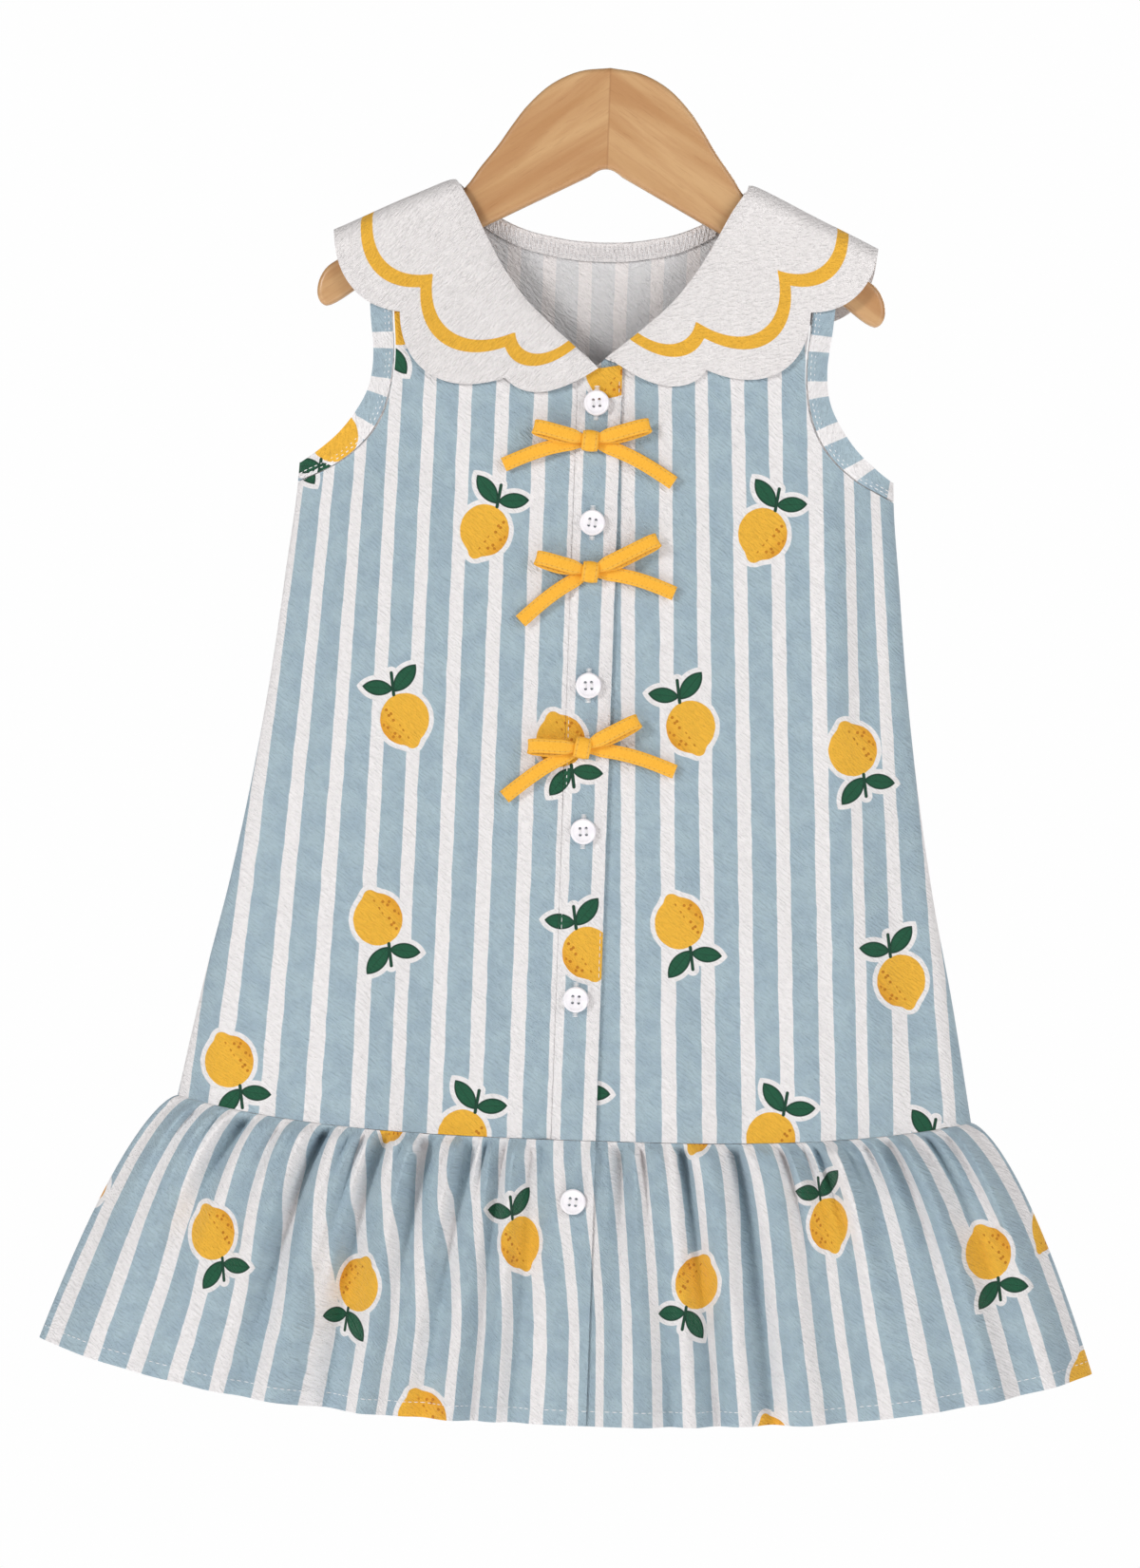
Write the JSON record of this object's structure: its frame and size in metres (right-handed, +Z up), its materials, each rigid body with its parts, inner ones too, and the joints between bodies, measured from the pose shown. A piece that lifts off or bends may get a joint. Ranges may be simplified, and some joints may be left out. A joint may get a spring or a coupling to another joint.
{
  "type": "sundress on a wooden hanger",
  "caption": "Child's sleeveless A-line sundress with scalloped collar, buttoned front, tied bows and gathered ruffle, hung on a flat wooden hanger.",
  "frame": {"origin": "top centre of the hanger, where it is held", "axes": "+Z up, -Y out of the front of the dress, +X to the right of someone looking at the front"},
  "size_m": [0.513, 0.0885, 0.6615],
  "materials": {
    "striped_cotton": "crinkled cotton, light blue and white stripes with printed lemons, soft sheen",
    "collar_cotton": "crinkled white cotton with a printed yellow line",
    "yellow_tape": "matt woven cotton tape, edge stitched",
    "button_white": "soft gloss",
    "serged_thread": "dense overlocked white thread",
    "hanger_wood": "clear satin lacquer on pale hardwood"
  },
  "bodies": {
    "root": {"bodice_front_left": "striped_cotton", "bodice_front_right": "striped_cotton", "bodice_back": "striped_cotton", "placket": "striped_cotton", "ruffle_front_left": "striped_cotton", "ruffle_front_right": "striped_cotton", "ruffle_back": "striped_cotton", "armhole_binding_left": "striped_cotton", "armhole_binding_right": "striped_cotton", "collar": "collar_cotton", "back_neck_seam": "serged_thread", "button_1": "button_white", "button_2": "button_white", "button_3": "button_white", "button_4": "button_white", "button_5": "button_white", "button_6": "button_white", "bow_1_knot": "yellow_tape", "bow_1_loop_left": "yellow_tape", "bow_1_loop_right": "yellow_tape", "bow_1_tail_left": "yellow_tape", "bow_1_tail_right": "yellow_tape", "bow_2_knot": "yellow_tape", "bow_2_loop_left": "yellow_tape", "bow_2_loop_right": "yellow_tape", "bow_2_tail_left": "yellow_tape", "bow_2_tail_right": "yellow_tape", "bow_3_knot": "yellow_tape", "bow_3_loop_left": "yellow_tape", "bow_3_loop_right": "yellow_tape", "bow_3_tail_left": "yellow_tape", "bow_3_tail_right": "yellow_tape", "hanger": "hanger_wood"}
  },
  "joints": []
}
